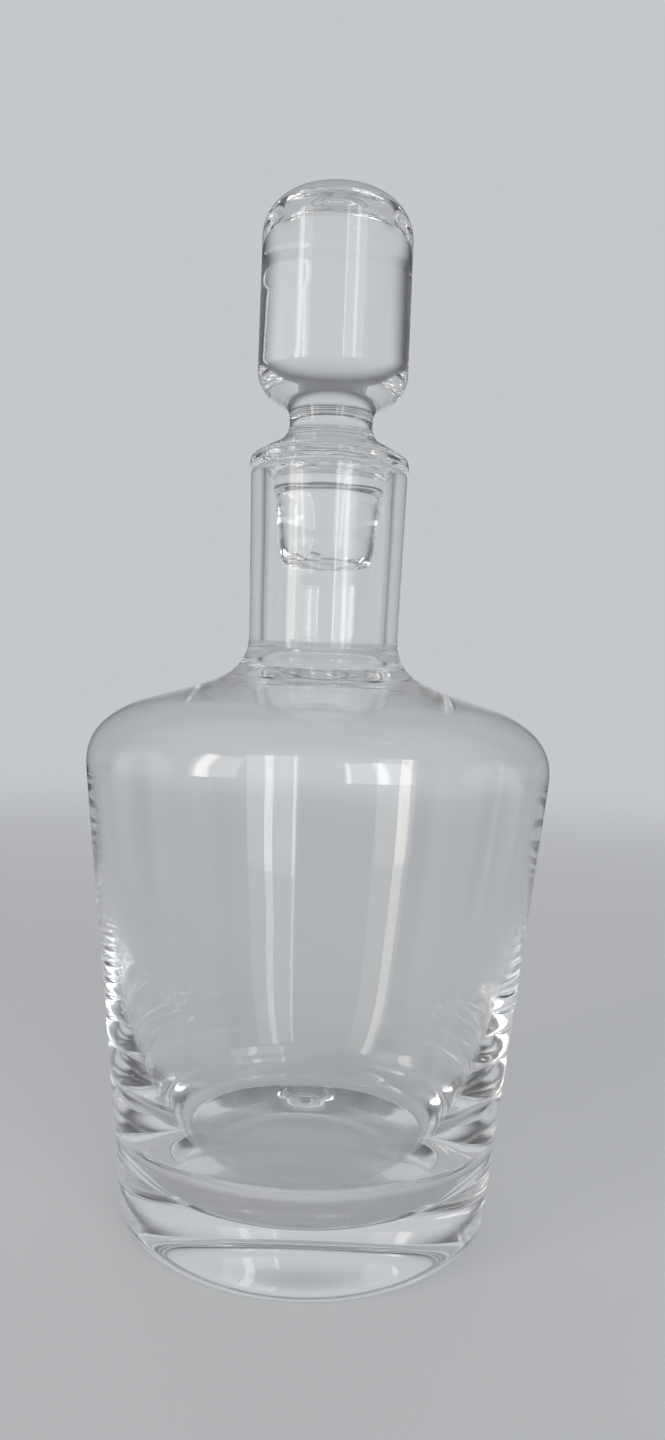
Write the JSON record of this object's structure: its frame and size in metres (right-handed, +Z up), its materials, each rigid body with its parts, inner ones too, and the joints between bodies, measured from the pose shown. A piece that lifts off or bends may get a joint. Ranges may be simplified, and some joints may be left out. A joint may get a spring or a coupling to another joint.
{
  "type": "glass decanter",
  "caption": "Heavy-based clear glass decanter, flared towards a rounded shoulder, with a straight neck and a solid lift-out glass stopper.",
  "frame": {"origin": "centre of the flat ring that the bottle stands on", "axes": "+Z up along the axis that the bottle and the stopper are turned about; X and Y level, and alike because the part is round"},
  "size_m": [0.12, 0.12, 0.2643],
  "materials": {
    "bottle_glass": "clear blown glass, fire-polished, with faint tool rings round the root of the neck",
    "stopper_glass": "clear solid glass, polished"
  },
  "bodies": {
    "bottle": {"bottle": "bottle_glass"},
    "stopper": {"stopper": "stopper_glass"}
  },
  "joints": [
    {"name": "stopper_lift", "type": "slide", "parent": "bottle", "child": "stopper", "axis": [0, 0, 1], "range_m": [0, 0.04]}
  ]
}
